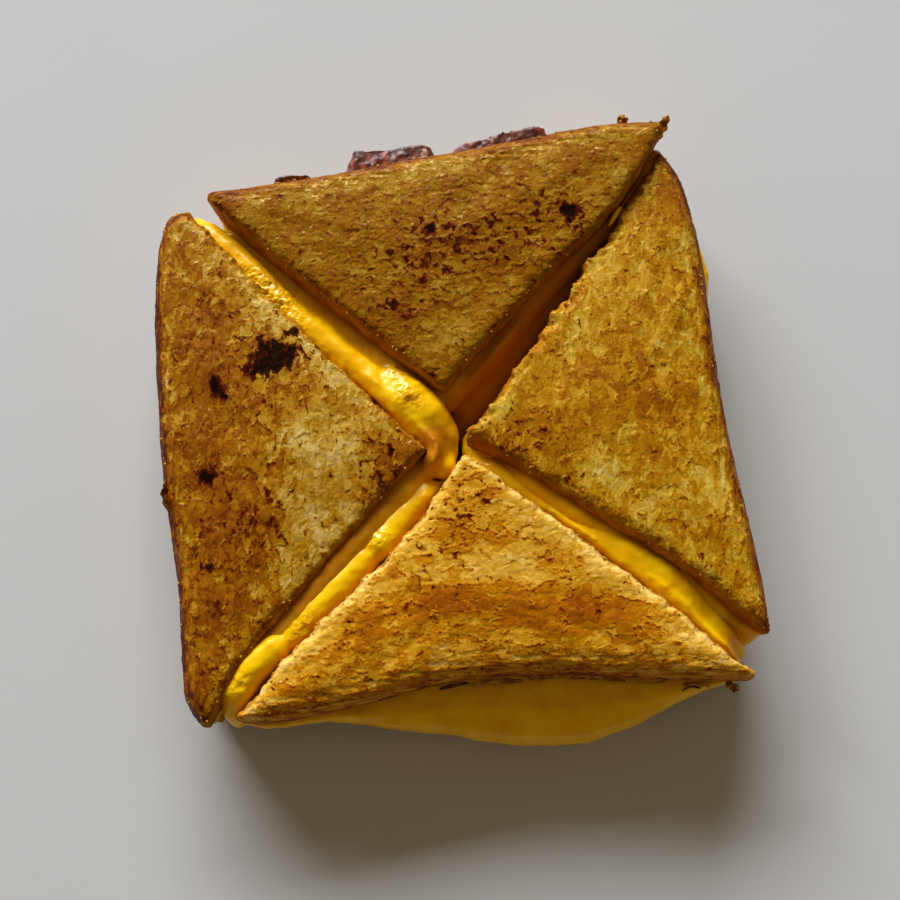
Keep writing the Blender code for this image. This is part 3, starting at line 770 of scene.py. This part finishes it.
def with_rolls(piece, rolls):
    """Adds rolls to a piece, as overlapping beads that the remesh melts into it."""
    skin = bmesh.new()
    skin.from_mesh(piece.data)
    for roll in rolls:
        for start, end in zip(roll, roll[1:]):
            start, end = Vector(start) * MM, Vector(end) * MM
            count = max(1, round((end - start).xyz.length / (BEAD_GAP * min(start.w, end.w))))
            for step in range(count + 1):
                bead = start.lerp(end, step / count)
                bmesh.ops.create_icosphere(
                    skin, subdivisions=3, radius=bead.w, matrix=Matrix.Translation(bead.xyz)
                )
    skin.to_mesh(piece.data)
    skin.free()
    return piece


def melt_relief():
    """The tree that gives melted cheese its slow swells, dimples and froth."""
    wire, given = open_tree("melt relief", Seed="Float")
    normal, millimetres = surface(wire, given["Seed"])
    froth = stored_value(wire, "froth")
    bubbles = wire.node(
        "ShaderNodeTexVoronoi", {"feature": "SMOOTH_F1"}, Vector=millimetres, Scale=0.75, Smoothness=0.4
    ).outputs["Distance"]
    height = wire.total(
        wire.times(wire.noise(millimetres, 0.11, 2.0), 1.1),
        wire.times(wire.noise(millimetres, 0.40, 2.0), 0.40),
        wire.times(froth, wire.times(wire.total(bubbles, -0.5), 1.8)),
    )
    shift = wire.scaled(normal, wire.times(height, MM))
    return close_tree(wire, given, given["Geometry"], shift)


def own_millimetres(wire, moved_on=0.0):
    """A finish's pattern place: the piece's own coordinates in millimetres, moved on by a seed."""
    place = wire.node("ShaderNodeTexCoord").outputs["Object"]
    scaled = wire.node("ShaderNodeMapping", {"vector_type": "POINT"}, Vector=place)
    scaled.inputs["Scale"].default_value = (1 / MM, 1 / MM, 1 / MM)
    scaled.inputs["Location"].default_value = (moved_on, moved_on, 0.0)
    return scaled.outputs["Vector"]


def melted_cheese():
    """Warm yellow, slightly see-through, with a film of butter. Froth is paler and sparkles, and painted
    shade turns it brown where the bread beside it shades it.
    """
    material, wire, shader = new_material("melted_cheese")
    millimetres = own_millimetres(wire)
    froth = wire.node("ShaderNodeAttribute", {"attribute_name": "froth"}).outputs["Fac"]
    painted_cheese_shade = wire.node("ShaderNodeAttribute", {"attribute_name": "painted_cheese_shade"}).outputs["Fac"]
    clouds = wire.noise(millimetres, 0.16, 3.0)
    fine = wire.noise(millimetres, 1.1, 3.0, 0.6)
    level = wire.total(0.5, clouds, wire.times(fine, 0.3), wire.times(froth, 0.15))
    colour = wire.ramp(level, [
        (0.25, linear(236, 168, 0)), (0.50, linear(248, 190, 0)), (0.80, linear(255, 208, 8)),
    ])
    # Painted shade: the cheese turns brown where the bread beside it shades it.
    painted_cheese_shade = wire.step(wire.total(painted_cheese_shade, wire.times(clouds, 0.8)), 0.1, 0.9)
    colour = wire.mix(painted_cheese_shade, colour, (*linear(186, 114, 10), 1.0))
    wire.feed(shader.inputs["Base Color"], colour)
    film = wire.total(wire.noise(millimetres, 0.35, 3.0), wire.times(fine, 0.3))
    wire.feed(shader.inputs["Roughness"], wire.step(film, -0.10, 0.16, 0.42, 0.24))
    set_constants(shader, {
        "IOR": 1.44, "Specular IOR Level": 0.35, "Specular Tint": (1.0, 0.88, 0.45, 1.0),
        "Subsurface Weight": 0.20, "Subsurface Radius": (0.9, 0.8, 0.05), "Subsurface Scale": 1.6 * MM,
        "Coat Roughness": 0.12, "Coat IOR": 1.46, "Coat Tint": (1.0, 0.93, 0.55, 1.0),
    })
    wire.feed(shader.inputs["Coat Weight"], wire.step(froth, 0.05, 0.6, 0.12, 0.9))
    cells = wire.node(
        "ShaderNodeTexVoronoi", {"feature": "SMOOTH_F1"}, Vector=millimetres, Scale=1.3, Smoothness=0.3
    ).outputs["Distance"]
    ripple = wire.total(wire.times(fine, 0.25), wire.times(cells, wire.times(froth, 2.0)))
    roughen(wire, shader, ripple, 0.7, 0.30 * MM)
    return material


melt_tree = melt_relief()
cheese_finish = melted_cheese()
for number, (side, rolls) in enumerate(CHEESE_ROLLS.items()):
    node = f"cheese_{side}"
    cheese = with_rolls(merged_copy(node, f"melted_cheese_{side}"), rolls)
    cheese = evened(cheese, CHEESE_VOXEL, CHEESE_SMOOTHING)
    store(cheese.data, "froth", patch_map(cheese, node, 0.0, CHEESE_FROTH[side]))
    store(cheese.data, "painted_cheese_shade", patch_map(cheese, node, 0.0, CHEESE_PAINTED_SHADE[side]))
    cheese = run_tree(cheese, melt_tree, Seed=10.0 * number, Finish=cheese_finish)
    cheese.data.shade_smooth()
    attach(cheese, "root")
    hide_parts(node)

# ------------------------------------------------------------
# Bacon.
# Three ends of cured bacon rashers stick out past the north crust: lean meat fried to a dark red,
# with streaks of fat and a greasy, wrinkled skin.
# ------------------------------------------------------------
BACON_VOXEL = 0.36 * MM
BACON_SMOOTHING = 4
RASHERS = {  # seed, how fatty it is, how much wider it spread in the pan, and how far it slid out in mm
    "west": (0.0, 0.35, 1.10, -0.5), "middle": (31.0, 0.40, 1.16, 0.4), "east": (67.0, 0.60, 1.10, 1.6),
}


def rasher_relief():
    """The tree that wrinkles a rasher and swells its streaks of fat."""
    wire, given = open_tree("rasher relief", Seed="Float")
    normal, millimetres = surface(wire, given["Seed"])
    height = wire.total(
        wire.times(wire.noise(millimetres, 0.20, 2.0), 2.2),
        wire.times(wire.noise(millimetres, 0.8, 3.0, 0.55), 0.45),
    )
    shift = wire.scaled(normal, wire.times(height, MM))
    return close_tree(wire, given, given["Geometry"], shift)


def fried_bacon(name, seed, fat):
    """Dark red lean with streaks and spots of fat, and a little grease on it."""
    material, wire, shader = new_material(name)
    millimetres = own_millimetres(wire, seed)
    along = wire.vector("MULTIPLY", millimetres, (1.0, 0.45, 1.0))
    streak = wire.noise(along, 0.30, 4.0, 0.6, 0.6)
    spots = wire.noise(millimetres, 1.1, 3.0, 0.6)
    lean = wire.ramp(wire.total(0.5, wire.noise(along, 0.55, 4.0, 0.65)), [
        (0.34, linear(62, 24, 20)), (0.50, linear(104, 46, 34)), (0.62, linear(140, 70, 48)),
        (0.78, linear(180, 102, 50)),
    ])
    fatty = wire.total(streak, wire.times(spots, 0.35))
    fatty = wire.step(fatty, 0.20 - 0.25 * fat, 0.30 - 0.25 * fat)
    colour = wire.mix(wire.times(fatty, 0.75), lean, (*linear(196, 146, 118), 1.0))
    white = wire.step(spots, 0.20, 0.24)
    colour = wire.mix(wire.times(white, 0.7), colour, (*linear(228, 204, 176), 1.0))
    wire.feed(shader.inputs["Base Color"], colour)
    set_constants(shader, {
        "Roughness": 0.44, "Subsurface Weight": 0.10, "Subsurface Radius": (1.0, 0.3, 0.2),
        "Subsurface Scale": 1.0 * MM, "Coat Weight": 0.10, "Coat Roughness": 0.12,
    })
    roughen(wire, shader, wire.total(spots, streak), 0.6, 0.30 * MM)
    return material


rasher_tree = rasher_relief()
for side, (seed, fat, wider, out) in RASHERS.items():
    node = f"bacon_{side}"
    low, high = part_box(node)
    bacon = merged_copy(node, f"fried_bacon_{side}")
    for point in bacon.data.vertices:
        middle = (low[0] + high[0]) / 2
        point.co = (middle + (point.co.x - middle) * wider, point.co.y + out * MM, point.co.z)
    bacon = evened(bacon, BACON_VOXEL, BACON_SMOOTHING)
    bacon = run_tree(bacon, rasher_tree, Seed=seed, Finish=fried_bacon(f"fried_bacon_{side}", seed, fat))
    bacon.data.shade_smooth()
    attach(bacon, "root")
    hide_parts(node)

# ------------------------------------------------------------
# Crumbs.
# Bits of fried crumb that the knife broke loose. They cling along the cuts and along the crust.
# ------------------------------------------------------------
CRUMBS_PER_SQUARE_METRE = 110000.0
CRUMB_RADIUS = (0.12, 0.36)  # mm
CRUMB_REACH = 1.1  # mm from a cut or the crust


def edge_crumbs(slices):
    """The tree that scatters crumbs along the cuts and the crust of the slices."""
    wire, given = open_tree("edge crumbs", **{side: "Object" for side in slices}, Density="Float")
    bread = wire.node("GeometryNodeJoinGeometry")
    for side in slices:
        shape = wire.node("GeometryNodeObjectInfo", Object=given[side]).outputs["Geometry"]
        wire.feed(bread.inputs[0], shape)
    near = [wire.step(stored_value(wire, name), CRUMB_REACH, 0.2) for name in ("cut", "crust")]
    high_up = wire.step(stored_value(wire, "below"), 4.0, 1.0)
    amount = wire.times(wire.math("MAXIMUM", *near), high_up)
    places = wire.node(
        "GeometryNodeDistributePointsOnFaces", {"distribute_method": "RANDOM"},
        Mesh=bread.outputs[0], Seed=5,
    )
    wire.feed(places.inputs["Density"], wire.times(amount, given["Density"]))
    size = wire.node("FunctionNodeRandomValue", {"data_type": "FLOAT"}, Seed=11)
    size.inputs[2].default_value, size.inputs[3].default_value = (radius * MM for radius in CRUMB_RADIUS)
    ball = wire.node("GeometryNodeMeshIcoSphere", Radius=1.0, Subdivisions=3)
    set_down = wire.node(
        "GeometryNodeInstanceOnPoints", Points=places.outputs["Points"], Instance=ball.outputs["Mesh"],
        Rotation=places.outputs["Rotation"], Scale=size.outputs[1],
    )
    real = wire.node("GeometryNodeRealizeInstances", Geometry=set_down.outputs[0]).outputs["Geometry"]
    normal, millimetres = surface(wire, 0.0)
    lumps = wire.noise(millimetres, 1.3, 3.0, 0.6)
    shift = wire.scaled(normal, wire.times(lumps, 0.75 * MM))
    return close_tree(wire, given, real, shift)


def fried_bits(name, stops):
    """Dry fried crumb and crust, dark in some places and golden in others."""
    material, wire, shader = new_material(name)
    millimetres = own_millimetres(wire)
    fine = wire.times(wire.noise(millimetres, 1.6, 3.0, 0.6), 0.7)
    tone = wire.total(0.5, wire.noise(millimetres, 0.5, 2.0), fine)
    wire.feed(shader.inputs["Base Color"], wire.ramp(tone, [(at, linear(*tint)) for at, tint in stops]))
    set_constants(shader, {"Roughness": 0.48, "Specular IOR Level": 0.25, "Specular Tint": BUTTER_TINT})
    roughen(wire, shader, wire.noise(millimetres, 2.4, 3.0, 0.6), 0.6, 0.2 * MM)
    return material


PALE_BITS = [(0.36, (150, 92, 14)), (0.50, (186, 134, 40)), (0.64, (210, 168, 78))]
GOLDEN_BITS = [(0.36, (112, 52, 6)), (0.48, (150, 86, 12)), (0.62, (184, 126, 34))]
DARK_BITS = [(0.36, (44, 20, 10)), (0.50, (84, 38, 12)), (0.66, (124, 66, 20))]

crumbs = run_tree(
    new_piece("loose_crumbs", bpy.data.meshes.new("loose_crumbs")), edge_crumbs(TOP_SLICES),
    Density=CRUMBS_PER_SQUARE_METRE, Finish=fried_bits("fried_crumbs", PALE_BITS),
    **{side: bpy.data.objects[f"toasted_slice_{side}"] for side in TOP_SLICES},
)
crumbs.data.shade_smooth()
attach(crumbs, "root")

# ------------------------------------------------------------
# Crust flakes.
# Thin shreds of crust that lifted and curled in the pan: one at the north slice's sharp corner, two
# dark ones on the west rim and a ragged row under the south rim. A few broke off as lumps.
# ------------------------------------------------------------
FLAKE_THICK = 0.42  # mm
FLAKE_ROWS = (30, 10)

# Each flake: slice, share across, share up, share of its height, length and width in mm, then turn,
# roll, lift and curl in degrees.
FLAKES = {
    "crust_flakes": [
        ("north", 0.985, 0.955, 0.86, 7.4, 2.6, 62, 15, 4, 30),
        ("south", 0.50, 0.158, 0.30, 13.0, 2.0, 5, 50, 0, 20),
        ("south", 0.60, 0.180, 0.34, 11.0, 2.2, 3, 40, 2, -25),
        ("south", 0.70, 0.176, 0.24, 13.0, 1.8, -3, 55, -2, 25),
        ("south", 0.80, 0.166, 0.22, 10.0, 2.0, -2, 50, 0, -30),
        ("south", 0.895, 0.152, 0.10, 6.4, 2.6, -4, 80, 0, 30),
    ],
    "burnt_flakes": [
        ("west", 0.086, 0.425, 0.66, 7.6, 2.4, 97, 60, 0, 40),
        ("west", 0.034, 0.815, 0.60, 4.0, 1.4, 86, 55, 0, 30),
        ("south", 0.885, 0.140, 0.06, 4.6, 1.5, 10, 70, 0, 60),
        ("south", 0.42, 0.146, 0.40, 7.0, 1.2, 12, 50, 0, 20),
    ],
}
FLAKE_LUMPS = [  # slice, share across, share up, share of its height, radius in mm
    ("north", 0.905, 1.006, 0.70, 1.15), ("south", 0.968, 0.137, 0.16, 0.95),
    ("south", 0.955, 0.150, 0.30, 0.8),
]
LUMP_SWELL = 0.6


def within(low, high, *shares):
    """The place at these shares of a box."""
    return Vector([start + share * (end - start) for start, end, share in zip(low, high, shares)])


def add_flake(skin, middle, length, width, turn, roll, lift, curl, seed):
    """Adds a thin closed sheet with a ragged outline, curled along its length, to the skin."""
    pose = Matrix.Translation(middle) @ Matrix.Rotation(math.radians(turn), 4, "Z")
    pose = pose @ Matrix.Rotation(math.radians(-lift), 4, "Y") @ Matrix.Rotation(math.radians(roll), 4, "X")
    bend = math.radians(curl)
    rows, columns = FLAKE_ROWS
    skins = {}
    for row in range(rows + 1):
        along = row / rows - 0.5
        taper = 1.0 - 0.8 * abs(2 * along) ** 3 + 0.40 * noise.noise(Vector((along * 6, 0.0, seed)))
        for column in range(columns + 1):
            across = column / columns - 0.5
            wave = 0.30 * noise.noise(Vector((along * 5, across * 2, seed + 9.0)))
            shred = 0.25 * noise.noise(Vector((along * 11, 1.0 if across > 0 else -1.0, seed)))
            x = length * math.sin(bend * along) / bend
            y = width * across * taper + shred * 2 * abs(across)
            z = length * (1 - math.cos(bend * along)) / bend + wave
            inside = min(row, rows - row, column, columns - column)
            thick = FLAKE_THICK * min(1.0, 0.35 + 0.3 * inside)
            for face in (1, -1):
                place = pose @ (Vector((x, y, z + face * thick / 2)) * MM)
                skins[face, row, column] = skin.verts.new(place)
    for row in range(rows):
        for column in range(columns):
            corners = [(row, column), (row + 1, column), (row + 1, column + 1), (row, column + 1)]
            skin.faces.new([skins[1, *corner] for corner in corners])
            skin.faces.new([skins[-1, *corner] for corner in reversed(corners)])
    border = [(row, 0) for row in range(rows)] + [(rows, column) for column in range(columns)]
    border += [(row, columns) for row in range(rows, 0, -1)]
    border += [(0, column) for column in range(columns, 0, -1)]
    for here, there in zip(border, border[1:] + border[:1]):
        skin.faces.new([skins[1, *there], skins[1, *here], skins[-1, *here], skins[-1, *there]])


def add_lump(skin, middle, radius):
    """Adds a knobbly lump to the skin."""
    lump = bmesh.ops.create_icosphere(skin, subdivisions=4, radius=1.0)
    for point in lump["verts"]:
        swell = 1.0 + LUMP_SWELL * noise.noise(point.co * 1.4 + middle * (1 / MM))
        point.co = middle + point.co * (swell * radius * MM)


for name, flakes in FLAKES.items():
    flake_mesh = bpy.data.meshes.new(name)
    skin = bmesh.new()
    for number, (side, across, up, rise, *shape) in enumerate(flakes):
        low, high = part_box(f"top_bread_{side}")
        add_flake(skin, within(low, high, across, up, rise), *shape, seed=7.3 * number)
    if name == "crust_flakes":
        for side, across, up, rise, radius in FLAKE_LUMPS:
            low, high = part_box(f"top_bread_{side}")
            add_lump(skin, within(low, high, across, up, rise), radius)
    skin.to_mesh(flake_mesh)
    skin.free()
    flake = new_piece(name, flake_mesh)
    flake.data.materials.append(
        fried_bits(f"fried_{name}", GOLDEN_BITS if name == "crust_flakes" else DARK_BITS)
    )
    flake.data.shade_smooth()
    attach(flake, "root")
